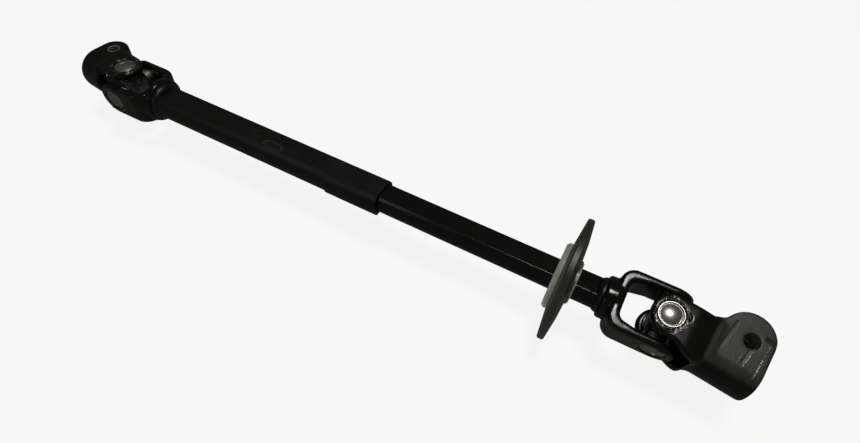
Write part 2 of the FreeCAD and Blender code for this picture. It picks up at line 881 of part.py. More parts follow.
def make_cross(label, place):
    """Spider with four trunnions along Z and Y."""
    body = new_body(label)
    hub, shoulder = size.cross_hub_radius, size.cross_shoulder
    pin, tip, chamfer = size.trunnion_radius, size.trunnion_tip, size.trunnion_chamfer
    collar = pin + size.cross_shoulder_rise
    side = shoulder - size.cross_shoulder_depth
    for plane, axis in (("XZ_Plane", "Z_Axis"), ("XY_Plane", "Y_Axis")):
        profile = new_sketch(body, f"{label}_{axis[0]}_trunnions", plane)
        add_outline(
            profile,
            [
                (0, -tip),
                (pin - chamfer, -tip),
                (pin, chamfer - tip),
                (pin, -shoulder),
                (collar, -shoulder),
                (hub, -side),
                (hub, side),
                (collar, shoulder),
                (pin, shoulder),
                (pin, tip - chamfer),
                (pin - chamfer, tip),
                (0, tip),
            ],
        )
        turn(body, "Revolution", profile, axis)
    finish(body, place)


def make_bearing_cup(label, place):
    """Drawn steel cup with a spherical dome inside a rim groove."""
    body = new_body(label)
    profile = new_sketch(body, f"{label}_profile", "XZ_Plane")
    outer, inner, edge = size.cup_radius, size.cup_inner_radius, size.cup_edge
    floor, top, dome = size.cup_floor, size.cup_top, size.cup_dome_radius
    groove = top - size.cup_groove_depth
    crown = top + size.cup_dome_rise
    height = crown - groove
    centre = crown - (dome * dome + height * height) / (height * 2)
    add_outline(
        profile,
        [
            (inner, size.cup_mouth),
            (outer, size.cup_mouth),
            (outer, top - edge),
            (outer - edge, top),
            (size.cup_rim_inner, top),
            (dome + size.cup_groove_width, groove),
            (dome, groove),
            (0, crown, 0, centre, "left"),
            (0, floor),
            (inner, floor),
        ],
    )
    turn(body, "Revolution", profile, "Z_Axis")
    finish(body, place)


def make_ring_pair(label, place, corners):
    """Two equal rings, one on each trunnion; corners(side) gives their section for side +1 or -1."""
    body = new_body(label)
    body.AllowCompound = True
    profile = new_sketch(body, f"{label}_profile", "XZ_Plane")
    for side in (1, -1):
        add_outline(profile, corners(side))
    turn(body, "Revolution", profile, "Z_Axis")
    finish(body, place)


def seal_section(side):
    """Lip seal that plugs the cup's mouth and leans on the trunnion's root."""
    inner = size.trunnion_radius + size.seal_clearance
    outer, lip = size.cup_inner_radius, size.seal_lip_radius
    mouth = size.cup_mouth * side
    start = mouth - size.seal_lip_height * side
    end = mouth + size.seal_plug_depth * side
    return [(inner, start), (lip, start), (lip, mouth), (outer, mouth), (outer, end), (inner, end)]


def pad_section(side):
    """Thrust pad on the floor of the cup."""
    radius = size.cup_inner_radius - size.pad_clearance
    start = (size.trunnion_tip + size.seal_clearance) * side
    end = size.cup_floor * side
    return [(0, start), (radius, start), (radius, end), (0, end)]


def make_needle_set(label, place):
    """Needle rollers of one cup pair."""
    body = new_body(label)
    body.AllowCompound = True
    pitch = (size.trunnion_radius + size.cup_inner_radius) / 2
    count = int(size.needles_per_cup.value)
    for side, lift in (("near", size.needle_start), ("far", -(size.needle_start + size.needle_length))):
        rollers = new_sketch(body, f"{label}_{side}", "XY_Plane", lift)
        for index in range(count):
            turned = f"360 / sizes.needles_per_cup * {index}"
            angle = math.tau * index / count
            x = Size(pitch.value * math.cos(angle), f"{pitch.formula} * cos({turned})")
            y = Size(pitch.value * math.sin(angle), f"{pitch.formula} * sin({turned})")
            add_circle(rollers, x, y, size.needle_radius)
        extrude(body, "Pad", rollers, size.needle_length)
    finish(body, place)


# ---------------------------------------------------------------- assembly


def make_joint(end):
    """Everything of one universal joint except its shaft fork: end is lower or upper."""
    make_clamp_yoke(end)
    make_cross(f"{end}_cross", f"{end}_cross")
    for side in ("shaft", "end"):
        place = f"{end}_{side}_side"
        PLACES[f"{place}_far"] = PLACES[place] * FreeCAD.Placement(Vector(), FreeCAD.Rotation(RIGHT, 180))
        make_bearing_cup(f"{end}_{side}_cup_near", place)
        make_bearing_cup(f"{end}_{side}_cup_far", f"{place}_far")
        make_ring_pair(f"{end}_{side}_trunnion_seals", place, seal_section)
        make_ring_pair(f"{end}_{side}_thrust_pads", place, pad_section)
        make_needle_set(f"{end}_{side}_needles", place)


def check_and_export():
    """Refuses a failed feature or shape, then writes one STEP file per sub-part."""
    document.recompute()
    failed = [thing.Name for thing in document.Objects if {"Invalid", "Error"} & set(thing.State)]
    failed += [part.Label for part in sub_parts if part.Shape.isNull() or not part.Shape.isValid()]
    if failed:
        raise RuntimeError(f"failed: {failed}")
    os.makedirs("parts", exist_ok=True)
    for part in sub_parts:
        part.Shape.exportStep(f"parts/{part.Label}.step")
        solids = len(part.Shape.Solids)
        print(f"{part.Label}: {solids} solid(s), {part.Shape.Volume:.0f} mm3")


make_inner_shaft()
make_outer_tube()
make_slip_liner()
make_seal_disc()
make_seal_bushing()
make_seal_ring()
make_shaft_forks()
make_weld_bead("upper", "upper_shaft_side", turned_double_d(*tube_section()))
make_weld_bead("lower", "shaft", double_d(size.bar_radius, size.bar_flat))
make_joint("lower")
make_joint("upper")
check_and_export()
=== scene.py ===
import json
import math

import bpy
import numpy as np
from mathutils import Matrix, Vector


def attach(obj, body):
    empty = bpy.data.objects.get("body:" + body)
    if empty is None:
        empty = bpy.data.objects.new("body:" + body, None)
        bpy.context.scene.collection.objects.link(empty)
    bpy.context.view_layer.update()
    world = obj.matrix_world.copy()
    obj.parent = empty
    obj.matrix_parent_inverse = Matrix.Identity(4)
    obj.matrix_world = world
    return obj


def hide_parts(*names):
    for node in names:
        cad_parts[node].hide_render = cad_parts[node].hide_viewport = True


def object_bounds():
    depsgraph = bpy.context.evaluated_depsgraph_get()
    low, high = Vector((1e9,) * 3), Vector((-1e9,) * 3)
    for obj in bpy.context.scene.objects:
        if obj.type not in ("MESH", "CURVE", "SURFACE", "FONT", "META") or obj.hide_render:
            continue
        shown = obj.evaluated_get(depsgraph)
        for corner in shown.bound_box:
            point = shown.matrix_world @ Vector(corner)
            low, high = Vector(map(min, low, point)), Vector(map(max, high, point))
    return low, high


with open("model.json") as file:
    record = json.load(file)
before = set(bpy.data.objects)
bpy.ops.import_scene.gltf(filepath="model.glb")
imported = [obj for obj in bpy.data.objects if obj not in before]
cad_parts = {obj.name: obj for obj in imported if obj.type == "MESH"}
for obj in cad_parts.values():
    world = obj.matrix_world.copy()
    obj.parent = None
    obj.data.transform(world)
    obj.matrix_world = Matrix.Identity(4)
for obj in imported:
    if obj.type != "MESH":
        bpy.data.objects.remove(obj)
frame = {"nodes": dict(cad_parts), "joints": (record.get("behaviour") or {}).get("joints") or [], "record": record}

cad_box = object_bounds()
MM = 0.001

# ---------------------------------------------------------------- where things are
# Each joint and each clamp has a frame of its own: origin, and x, y and z directions.

joints = {joint["name"]: joint for joint in frame["joints"]}
mounts = {mount["name"]: mount for mount in frame["record"]["mounts"]}


class Frame:
    def __init__(self, origin, x, z):
        self.origin = Vector(origin)
        self.x = Vector(x).normalized()
        self.z = Vector(z).normalized()
        self.y = self.z.cross(self.x)

    def at(self, x=0.0, y=0.0, z=0.0):
        """Point at x, y, z millimetres in this frame."""
        return self.origin + (self.x * x + self.y * y + self.z * z) * MM

    def inside(self, points):
        """The same points, an array of rows in metres, as x, y and z millimetres in this frame."""
        axes = np.array([self.x, self.y, self.z])
        return (points - np.array(self.origin)) @ axes.T / MM

    def outside(self, places):
        """The reverse of inside()."""
        axes = np.array([self.x, self.y, self.z])
        return places @ axes * MM + np.array(self.origin)


def joint_frame(joint, x):
    return Frame(joints[joint]["pos_m"], x, joints[joint]["axis"])


def clamp_frame(end):
    """Frame of a clamp yoke: its joint's centre, x towards the clamp and z out of the bolt's seat."""
    bore = mounts[f"{end}_clamp_bore"]
    seat = mounts[f"{end}_bolt_seat"]
    return Frame(joints[f"{end}_shaft_pivot"]["pos_m"], bore["axis"], seat["axis"])


CLAMPS = {end: clamp_frame(end) for end in ("lower", "upper")}
FORKS = {
    "lower": joint_frame("lower_shaft_pivot", (1, 0, 0)),
    "upper": joint_frame("upper_shaft_pivot", (-1, 0, 0)),
}



def bolt_place(end):
    """The pinch bolt's axis in the clamp's frame: x and y millimetres."""
    bolt = (Vector(mounts[f"{end}_pinch_bolt_hole"]["pos_m"]) - CLAMPS[end].origin) / MM
    return bolt.dot(CLAMPS[end].x), bolt.dot(CLAMPS[end].y)


# ---------------------------------------------------------------- camera

camera = bpy.data.objects.new("camera", bpy.data.cameras.new("camera"))
bpy.context.scene.collection.objects.link(camera)
bpy.context.scene.camera = camera
AZIMUTH, ELEVATION, ROLL = (math.radians(angle) for angle in (23.747, 51.047, 5.221))
TARGET = Vector((-0.18213, 0.0020, 0.00131))
DISTANCE = 0.34071
LENS = 22.705  # focal length in millimetres, on a sensor SENSOR millimetres wide
SENSOR = 36
back = Vector(
    (
        math.sin(AZIMUTH) * math.cos(ELEVATION),
        -math.cos(AZIMUTH) * math.cos(ELEVATION),
        math.sin(ELEVATION),
    )
)
level = Vector((math.cos(AZIMUTH), math.sin(AZIMUTH), 0))
upright = back.cross(level)
right = level * math.cos(ROLL) + upright * math.sin(ROLL)
above = upright * math.cos(ROLL) - level * math.sin(ROLL)
turned = Matrix((right, above, back)).transposed().to_4x4()
camera.matrix_world = Matrix.Translation(TARGET + back * DISTANCE) @ turned
camera.data.lens = LENS
camera.data.sensor_width = SENSOR
camera.data.clip_start = 0.01
camera.data.clip_end = 20

# ---------------------------------------------------------------- material kit


class Nodes:
    """Short names for building a material's nodes. Lengths are in millimetres of the object."""

    def __init__(self, name):
        self.material = bpy.data.materials.new(name)
        self.material.use_nodes = True
        self.tree = self.material.node_tree
        self.shader = self.tree.nodes["Principled BSDF"]
        self.place = None

    def node(self, kind, settings=None, **inputs):
        made = self.tree.nodes.new(kind)
        for name, value in (settings or {}).items():
            setattr(made, name, value)
        for name, value in inputs.items():
            self.feed(made, name.replace("_", " "), value)
        return made

    def feed(self, node, name, value):
        socket = node.inputs[int(name)] if name.isdigit() else node.inputs[name]
        if isinstance(value, bpy.types.NodeSocket):
            self.tree.links.new(value, socket)
        elif isinstance(value, bpy.types.Node):
            self.tree.links.new(value.outputs[0], socket)
        else:
            socket.default_value = value

    def set(self, **inputs):
        for name, value in inputs.items():
            self.feed(self.shader, name.replace("_", " "), value)

    def math(self, operation, *values, clamp=False):
        made = self.node("ShaderNodeMath", {"operation": operation, "use_clamp": clamp})
        for index, value in enumerate(values):
            self.feed(made, str(index), value)
        return made.outputs[0]

    def product(self, first, *others):
        for other in others:
            first = self.math("MULTIPLY", first, other)
        return first

    def distance(self, x, y):
        """Distance from the origin of a point at x and y."""
        squares = self.math("MULTIPLY", x, x), self.math("MULTIPLY", y, y)
        return self.math("SQRT", self.math("ADD", *squares))

    def near(self, value, middle, outer, inner):
        """1 where a value is within inner of middle, 0 where it is outer or more from it."""
        return self.step(self.math("ABSOLUTE", self.math("SUBTRACT", value, middle)), outer, inner)

    def position(self):
        """Position on the object at rest, in millimetres."""
        if self.place is None:
            where = self.node("ShaderNodeTexCoord").outputs["Object"]
            scaled = self.node("ShaderNodeVectorMath", {"operation": "SCALE"})
            self.tree.links.new(where, scaled.inputs[0])
            scaled.inputs["Scale"].default_value = 1000.0
            self.place = scaled.outputs[0]
        return self.place

    def local(self, place):
        """Position in a Frame, in millimetres: (x, y, z) sockets."""
        origin = self.node("ShaderNodeVectorMath", {"operation": "SUBTRACT"})
        self.tree.links.new(self.position(), origin.inputs[0])
        origin.inputs[1].default_value = place.origin * 1000
        sockets = []
        for direction in (place.x, place.y, place.z):
            dot = self.node("ShaderNodeVectorMath", {"operation": "DOT_PRODUCT"})
            self.tree.links.new(origin.outputs[0], dot.inputs[0])
            dot.inputs[1].default_value = direction
            sockets.append(dot.outputs["Value"])
        return sockets

    def facing(self, direction):
        """How far the surface faces a direction: 1 straight at it."""
        normal = self.node("ShaderNodeTexCoord").outputs["Normal"]
        dot = self.node("ShaderNodeVectorMath", {"operation": "DOT_PRODUCT"})
        self.tree.links.new(normal, dot.inputs[0])
        dot.inputs[1].default_value = direction
        return dot.outputs["Value"]

    def vector(self, x, y, z):
        made = self.node("ShaderNodeCombineXYZ")
        for index, value in enumerate((x, y, z)):
            self.feed(made, str(index), value)
        return made.outputs[0]

    def noise(self, size, detail=3.0, roughness=0.5, vector=None):
        """Noise from 0 to 1 whose lumps are about size millimetres across."""
        made = self.node("ShaderNodeTexNoise")
        self.tree.links.new(vector or self.position(), made.inputs["Vector"])
        made.inputs["Scale"].default_value = 1.0 / size
        made.inputs["Detail"].default_value = detail
        made.inputs["Roughness"].default_value = roughness
        return made.outputs[0]

    def cells(self, size, vector=None):
        """Distance to the middle of the nearest cell, in cells about size millimetres across."""
        made = self.node("ShaderNodeTexVoronoi")
        self.tree.links.new(vector or self.position(), made.inputs["Vector"])
        made.inputs["Scale"].default_value = 1.0 / size
        return made.outputs["Distance"]

    def step(self, value, low, high, to_low=0.0, to_high=1.0):
        """Smooth step of a value from low to high."""
        made = self.node("ShaderNodeMapRange", {"interpolation_type": "SMOOTHSTEP"})
        sockets = ("Value", "From Min", "From Max", "To Min", "To Max")
        for name, given in zip(sockets, (value, low, high, to_low, to_high)):
            self.feed(made, name, given)
        return made.outputs[0]

    def blend(self, factor, low, high):
        """Colour mix."""
        made = self.node("ShaderNodeMix", {"data_type": "RGBA"})
        for socket, value in zip((made.inputs[0], made.inputs[6], made.inputs[7]), (factor, low, high)):
            if isinstance(value, bpy.types.NodeSocket):
                self.tree.links.new(value, socket)
            elif isinstance(value, (int, float)):
                socket.default_value = value
            else:
                socket.default_value = (*value, 1.0)
        return made.outputs[2]

    def between(self, factor, low, high):
        """Number mix."""
        made = self.node("ShaderNodeMix", {"data_type": "FLOAT"})
        for index, value in zip((0, 2, 3), (factor, low, high)):
            self.feed(made, str(index), value)
        return made.outputs[0]

    def edge(self, radius):
        """1 near a sharp edge, 0 away from it; radius in millimetres."""
        rounded = self.node("ShaderNodeBevel", {"samples": 4}, Radius=radius * MM)
        plain = self.node("ShaderNodeNewGeometry")
        dot = self.node("ShaderNodeVectorMath", {"operation": "DOT_PRODUCT"})
        self.tree.links.new(rounded.outputs[0], dot.inputs[0])
        self.tree.links.new(plain.outputs["Normal"], dot.inputs[1])
        return self.math("SUBTRACT", 1.0, dot.outputs["Value"], clamp=True)

    def streak(self, x, y, start, end, width, fray=0.5):
        """1 along a scratch from start to end, on a face with coordinates x and y; fray breaks its sides."""
        (x0, y0), (x1, y1) = start, end
        length = math.hypot(x1 - x0, y1 - y0)
        dx, dy = (x1 - x0) / length, (y1 - y0) / length
        from_x, from_y = self.math("SUBTRACT", x, x0), self.math("SUBTRACT", y, y0)
        along = self.math("ADD", self.math("MULTIPLY", from_x, dx), self.math("MULTIPLY", from_y, dy))
        aside = self.math("SUBTRACT", self.math("MULTIPLY", from_y, dx), self.math("MULTIPLY", from_x, dy))
        past = self.math("MAXIMUM", self.math("SUBTRACT", along, length), self.math("MULTIPLY", along, -1.0))
        away = self.math("MAXIMUM", self.math("ABSOLUTE", aside), past)
        ragged = self.math("ADD", away, self.math("MULTIPLY", self.noise(0.9, detail=4), fray * 2))
        edge, blur = width / 2 + fray, 0.25
        return self.step(ragged, edge, edge - blur)

    def bump(self, *heights, rounding=None):
        """Bump from (height socket, depth in millimetres) pairs, each on top of the one before."""
        normal = None
        if rounding:
            normal = self.node("ShaderNodeBevel", {"samples": 6}, Radius=rounding * MM).outputs[0]
        for height, depth in heights:
            made = self.node("ShaderNodeBump", Distance=depth * MM, Strength=1.0)
            self.feed(made, "Height", height)
            if normal is not None:
                self.feed(made, "Normal", normal)
            normal = made.outputs[0]
        self.feed(self.shader, "Normal", normal)


STAKES = (20, 110, 200, 290)  # angles of the punch marks round a cup, in degrees
STAKE_RING = 9.0  # distance of the punch marks from the cup's axis, in millimetres
STAKE_PLACE = (-0.3002, -0.0003, 0.0104)  # middle of the long stake on the outer tube, in metres
STAKE_SIZE = (16.0, 6.4)  # its length and width, in millimetres
PAINT_SPECULAR = 0.45


def paint_coat(nodes, forged, wear, gloss=(0.13, 0.24)):
    """Colour, roughness, chips and bump heights of black paint.

    forged is the size of the lumps under it, wear how far its edges are chipped, and gloss its least
    and greatest roughness.
    """
    smears = nodes.noise(14, detail=4, roughness=0.6)
    dust = nodes.step(nodes.cells(1.3), 0.14, 0.04)
    dusty = nodes.math("MULTIPLY", dust, nodes.step(nodes.noise(5), 0.5, 0.66))
    film = nodes.step(nodes.noise(0.5, detail=2), 0.42, 0.62)
    edges = nodes.math("MULTIPLY", nodes.edge(0.7), nodes.noise(1.6, detail=5, roughness=0.7))
    chips = nodes.step(edges, 0.13 / wear, 0.18 / wear)
    colour = nodes.blend(smears, (0.0022, 0.0022, 0.002), (0.0046, 0.0045, 0.004))
    colour = nodes.blend(nodes.math("MULTIPLY", film, 0.5), colour, (0.0065, 0.0063, 0.0055))
    colour = nodes.blend(nodes.math("MULTIPLY", dusty, 0.25), colour, (0.06, 0.06, 0.055))
    colour = nodes.blend(chips, colour, (0.16, 0.16, 0.15))
    roughness = nodes.step(smears, 0.25, 0.75, *gloss)
    roughness = nodes.between(dusty, roughness, 0.6)
    roughness = nodes.between(chips, roughness, 0.35)
    heights = [(nodes.noise(forged, detail=3), 0.05), (nodes.noise(0.9, detail=2), 0.01)]
    return colour, roughness, chips, heights


def paint(name, forged, wear, rounding):
    nodes = Nodes(name)
    colour, roughness, metal, heights = paint_coat(nodes, forged, wear)
    nodes.set(Base_Color=colour, Roughness=roughness, Metallic=metal, Specular_IOR_Level=PAINT_SPECULAR)
    nodes.bump(*heights, rounding=rounding)
    return nodes.material


def tube_paint():
    """Paint on the outer tube, thin over the long stake pressed into the side that faces up."""
    nodes = Nodes("tube_paint")
    colour, roughness, metal, heights = paint_coat(nodes, 18.0, 0.8, (0.34, 0.44))
    x, y, z = nodes.local(Frame(STAKE_PLACE, (1, 0, 0), (0, 0, 1)))
    length, width = STAKE_SIZE
    along, across = nodes.math("DIVIDE", x, length / 2), nodes.math("DIVIDE", y, width / 2)
    wander = nodes.math("MULTIPLY", nodes.noise(2.2, detail=4), 0.3)
    away = nodes.math("ADD", nodes.distance(along, across), wander)
    upward = nodes.step(nodes.facing((0, 0, 1)), 0.5, 0.8)
    dish = nodes.math("MULTIPLY", nodes.step(away, 1.25, 0.75), upward)
    rim = nodes.near(away, 1.05, 0.16, 0.04)
    rubbed = nodes.step(nodes.noise(1.0, detail=4), 0.35, 0.6)
    seam_start, seam_end = (length / 2 - 1.5, -width / 2 + 0.6), (length / 2 + 10.0, -width / 2 + 0.2)
    seam = nodes.streak(x, y, seam_start, seam_end, 0.25, 0.2)
    light = nodes.product(nodes.math("MAXIMUM", rim, seam), upward, rubbed)
    colour = nodes.blend(nodes.math("MULTIPLY", dish, 0.25), colour, (0.02, 0.0195, 0.018))
    colour = nodes.blend(nodes.math("MULTIPLY", light, 0.6), colour, (0.08, 0.078, 0.07))
    nodes.set(
        Base_Color=colour,
        Roughness=nodes.between(nodes.math("MAXIMUM", dish, light), roughness, 0.42),
        Metallic=metal,
        Specular_IOR_Level=PAINT_SPECULAR,
    )
    nodes.bump(*heights, (dish, -0.25), rounding=0.35)
    return nodes.material


def stake_chips(nodes, x, y, z):
    """1 where the paint is knocked off round a staked cup."""
    ring = nodes.near(nodes.distance(x, y), STAKE_RING - 0.5, 1.5, 0.7)
    outside = nodes.step(nodes.math("ABSOLUTE", z), 17.0, 17.6)
    broken = nodes.step(nodes.noise(1.5, detail=5, roughness=0.7), 0.54, 0.62)
    return nodes.product(ring, outside, broken)


def fork_paint(name, place):
    """Glossy paint on a fork, chipped round the staked cups."""
    nodes = Nodes(name)
    colour, roughness, metal, heights = paint_coat(nodes, 4.0, 1.0)
    chips = stake_chips(nodes, *nodes.local(place))
    nodes.set(
        Base_Color=nodes.blend(chips, colour, (0.3, 0.3, 0.28)),
        Roughness=nodes.between(chips, roughness, 0.4),
        Metallic=nodes.math("MAXIMUM", metal, chips),
        Specular_IOR_Level=PAINT_SPECULAR,
    )
    nodes.bump(*heights, (nodes.noise(2.4, detail=2), 0.04), (chips, -0.04))
    return nodes.material


# scratches on the lower clamp's seat: start, end and width in millimetres from the joint
BARE_MARKS = [
    ((42.8, 6.3), (41.0, -4.7), 0.7),
    ((47.9, 3.0), (47.3, -7.6), 1.0),
    ((48.6, 12.0), (47.9, 5.0), 0.4),
    ((38.2, 0.8), (37.6, -6.6), 0.25),
    ((30.9, 15.6), (28.3, -1.6), 0.15),
]


def clamp_paint(end):
    """Painted clamp yoke. The lower one's bolt seat is worn down to fine milling lines and scratched; its worn
    colour is also lightened into a painted sheen, lighter towards the top of the seat and fading out over the
    barrel's roll.
    """
    nodes = Nodes(f"{end}_yoke_paint")
    place = CLAMPS[end]
    seat_mount = mounts[f"{end}_bolt_seat"]
    seat = (Vector(seat_mount["pos_m"]) - place.origin).dot(place.z) * 1000
    x, y, z = nodes.local(place)
    colour, roughness, metal, heights = paint_coat(nodes, 5.0, 1.0)
    edge = nodes.math("ADD", y, nodes.math("MULTIPLY", nodes.noise(5, detail=4), 3.0))
    past_arm = nodes.step(x, 21.5, 24.0) if end == "lower" else 0.0
    # This patch of the lower seat carries wear and a painted sheen: lighter towards the top of the seat, fading
    # out over the barrel's roll.
    on_seat = nodes.product(nodes.step(z, seat - 4.5, seat - 0.6), nodes.step(edge, -14.0, -7.0), past_arm)
    wander = nodes.noise(3.0, detail=4)
    drawn_out = nodes.vector(x, nodes.math("MULTIPLY", y, 0.05), 0.0)
    lines = nodes.noise(0.4, detail=4, roughness=0.75, vector=drawn_out)
    cloud = nodes.noise(8, detail=5, roughness=0.6)
    # Worn seat colour with painted sheen: lifted to stand for the overhead light's reflection in the satin seat.
    worn_and_sheen = nodes.blend(cloud, (0.03, 0.031, 0.029), (0.065, 0.067, 0.063))
    worn_and_sheen = nodes.blend(nodes.step(lines, 0.5, 0.75), worn_and_sheen, (0.12, 0.124, 0.116))
    colour = nodes.blend(on_seat, colour, worn_and_sheen)
    roughness = nodes.between(on_seat, roughness, nodes.step(lines, 0.2, 0.8, 0.38, 0.5))
    metal = nodes.between(on_seat, metal, 0.35)
    bare = stake_chips(nodes, x, y, z)
    if end == "lower":
        for start, stop, width in BARE_MARKS:
            broken = nodes.step(nodes.noise(1.1, detail=5, roughness=0.7), 0.4, 0.55)
            mark = nodes.product(nodes.streak(x, y, start, stop, width), on_seat, broken)
            bare = nodes.math("MAXIMUM", bare, mark)
    colour = nodes.blend(bare, colour, (0.42, 0.42, 0.38))
    roughness = nodes.between(bare, roughness, 0.38)
    metal = nodes.math("MAXIMUM", metal, bare)
    bolt_x, bolt_y = bolt_place(end)
    from_x, from_y = nodes.math("SUBTRACT", x, bolt_x), nodes.math("SUBTRACT", y, bolt_y)
    in_hole = nodes.step(nodes.distance(from_x, from_y), 4.6, 4.35)
    drilled = nodes.math("MULTIPLY", in_hole, nodes.step(z, seat - 0.3, seat - 1.2))
    colour = nodes.blend(drilled, colour, (0.16, 0.16, 0.15))
    roughness = nodes.between(drilled, roughness, 0.45)
    nodes.set(Base_Color=colour, Roughness=roughness, Metallic=metal, Specular_IOR_Level=PAINT_SPECULAR)
    nodes.bump(
        *heights,
        (nodes.math("MULTIPLY", lines, on_seat), 0.03),
        (nodes.math("MULTIPLY", wander, on_seat), 0.03),
        (bare, -0.06),
    )
    return nodes.material


def cup_steel(name, place):
    """Bright drawn steel, with turning marks round the pin's axis and patchy brown darkening in the groove of the
    rim.
    """
    nodes = Nodes(name)
    x, y, z = nodes.local(place)
    across = nodes.distance(x, y)
    turned = nodes.noise(0.3, detail=2, vector=nodes.vector(across, 0.0, 0.0))
    stain = nodes.noise(3.2, detail=5, roughness=0.65)
    gap = nodes.near(across, 6.0, 0.55, 0.2)
    gap = nodes.math("MULTIPLY", gap, nodes.step(stain, 0.2, 0.5))
    colour = nodes.blend(nodes.step(stain, 0.4, 0.7), (0.64, 0.62, 0.58), (0.5, 0.475, 0.43))
    colour = nodes.blend(nodes.math("MULTIPLY", gap, 0.75), colour, (0.12, 0.1, 0.085))
    nodes.set(
        Base_Color=colour,
        Metallic=nodes.between(gap, 1.0, 0.7),
        Roughness=nodes.step(stain, 0.3, 0.8, 0.27, 0.36),
    )
    nodes.bump((turned, 0.004), (nodes.noise(0.8, detail=4), 0.003))
    return nodes.material


def dark_steel(name, colour, shine):
    """Ground steel under a film of old grease."""
    nodes = Nodes(name)
    grease = nodes.noise(4.0, detail=5, roughness=0.6)
    dark = tuple(part * 0.2 for part in colour)
    nodes.set(
        Base_Color=nodes.blend(nodes.step(grease, 0.35, 0.65), colour, dark),
        Metallic=nodes.step(grease, 0.35, 0.65, 0.95, 0.35),
        Roughness=nodes.step(grease, 0.3, 0.7, shine, shine + 0.2),
    )
    nodes.bump((nodes.noise(0.5, detail=3), 0.01), (grease, 0.05))
    return nodes.material


def rubber(name):
    nodes = Nodes(name)
    bloom = nodes.noise(2.5, detail=5)
    nodes.set(
        Base_Color=nodes.blend(bloom, (0.006, 0.006, 0.006), (0.02, 0.019, 0.017)),
        Roughness=nodes.step(bloom, 0.3, 0.7, 0.45, 0.65),
    )
    nodes.bump((nodes.noise(0.35, detail=3), 0.01), (bloom, 0.02))
    return nodes.material


def nylon(name):
    """Off-white moulded nylon: turned faintly yellow-green, with patches of handling dirt."""
    nodes = Nodes(name)
    cloud = nodes.noise(9, detail=4)
    dirt = nodes.step(nodes.noise(2.2, detail=6, roughness=0.7), 0.55, 0.75)
    colour = nodes.blend(cloud, (0.31, 0.325, 0.265), (0.4, 0.41, 0.35))
    colour = nodes.blend(nodes.math("MULTIPLY", dirt, 0.45), colour, (0.13, 0.12, 0.09))
    nodes.set(
        Base_Color=colour,
        Roughness=nodes.step(cloud, 0.3, 0.7, 0.4, 0.55),
        Subsurface_Weight=0.15,
        Subsurface_Scale=0.001,
        Specular_IOR_Level=0.4,
    )
    nodes.bump((nodes.noise(0.6, detail=3), 0.012), (cloud, 0.03))
    return nodes.material


def disc_coat(name):
    """Satin dark coating on the seal disc, with turning marks round the shaft."""
    nodes = Nodes(name)
    x, y, z = nodes.local(FORKS["lower"])
    rings = nodes.noise(0.35, detail=3, vector=nodes.vector(x, nodes.distance(y, z), 0.0))
    cloud = nodes.noise(11, detail=5, roughness=0.6)
    scuff = nodes.step(nodes.math("MULTIPLY", nodes.edge(0.6), nodes.noise(1.4, detail=5)), 0.08, 0.15)
    colour = nodes.blend(cloud, (0.035, 0.036, 0.033), (0.06, 0.06, 0.055))
    colour = nodes.blend(scuff, colour, (0.2, 0.19, 0.17))
    nodes.set(
        Base_Color=colour,
        Roughness=nodes.step(cloud, 0.3, 0.7, 0.3, 0.42),
        Metallic=0.35,
        Specular_IOR_Level=0.5,
    )
    nodes.bump((rings, 0.01), (nodes.noise(0.8, detail=3), 0.012))
    return nodes.material


def weld_metal(name):
    """Painted weld: black over the ripples, with bare bright spatter."""
    nodes = Nodes(name)
    fleck = nodes.step(nodes.noise(1.1, detail=5, roughness=0.75), 0.62, 0.7)
    nodes.set(
        Base_Color=nodes.blend(fleck, (0.004, 0.004, 0.0038), (0.32, 0.32, 0.31)),
        Metallic=fleck,
        Roughness=nodes.between(fleck, 0.38, 0.3),
        Specular_IOR_Level=PAINT_SPECULAR,
    )
    nodes.bump((nodes.noise(1.2, detail=4), 0.12), (nodes.noise(0.4, detail=2), 0.04))
    return nodes.material


# ---------------------------------------------------------------- materials on the CAD nodes

materials = {
    "outer_tube": tube_paint(),
    "inner_shaft": paint("bar_paint", forged=25.0, wear=1.0, rounding=0.5),
    "lower_shaft_yoke": fork_paint("lower_fork_paint", FORKS["lower"]),
    "upper_shaft_yoke": fork_paint("upper_fork_paint", FORKS["upper"]),
    "lower_end_yoke": clamp_paint("lower"),
    "upper_end_yoke": clamp_paint("upper"),
    "lower_weld_bead": weld_metal("lower_weld_metal"),
    "upper_weld_bead": weld_metal("upper_weld_metal"),
    "seal_disc": disc_coat("disc_coat"),
    "seal_bushing": nylon("bushing_nylon"),
    "slip_liner": nylon("liner_nylon"),
    "seal_retaining_ring": dark_steel("ring_steel", (0.3, 0.3, 0.3), 0.3),
}
cross_finish = dark_steel("cross_steel", (0.28, 0.28, 0.29), 0.25)
needle_finish = dark_steel("needle_steel", (0.5, 0.5, 0.5), 0.2)
seal_finish = rubber("seal_rubber")
pad_finish = nylon("pad_nylon")
for end in ("lower", "upper"):
    cups = {
        "shaft": cup_steel(f"{end}_shaft_cup_steel", FORKS[end]),
        "end": cup_steel(f"{end}_end_cup_steel", CLAMPS[end]),
    }
    materials[f"{end}_cross"] = cross_finish
    for side, finish in cups.items():
        materials[f"{end}_{side}_cup_near"] = finish
        materials[f"{end}_{side}_cup_far"] = finish
        materials[f"{end}_{side}_needles"] = needle_finish
        materials[f"{end}_{side}_trunnion_seals"] = seal_finish
        materials[f"{end}_{side}_thrust_pads"] = pad_finish
for name, thing in frame["nodes"].items():
    for slot in thing.material_slots:
        slot.material = materials[name]

# ---------------------------------------------------------------- forgings
# The forks and the clamp yokes are forgings. Each gets the soft edges and the punch marks of one,
# while its machined bores stay as sharp as they are.

VOXEL = 0.42 * MM
CUP_HOLD = (7.8, 8.3)  # the cup bores are held inside the first radius and free outside the second
BOLT_HOLD = (4.5, 5.2)
CLAMP_BORE_HOLD = 9.3

def mesh_points(mesh):
    points = np.empty(len(mesh.vertices) * 3)
    mesh.vertices.foreach_get("co", points)
    return points.reshape(-1, 3)


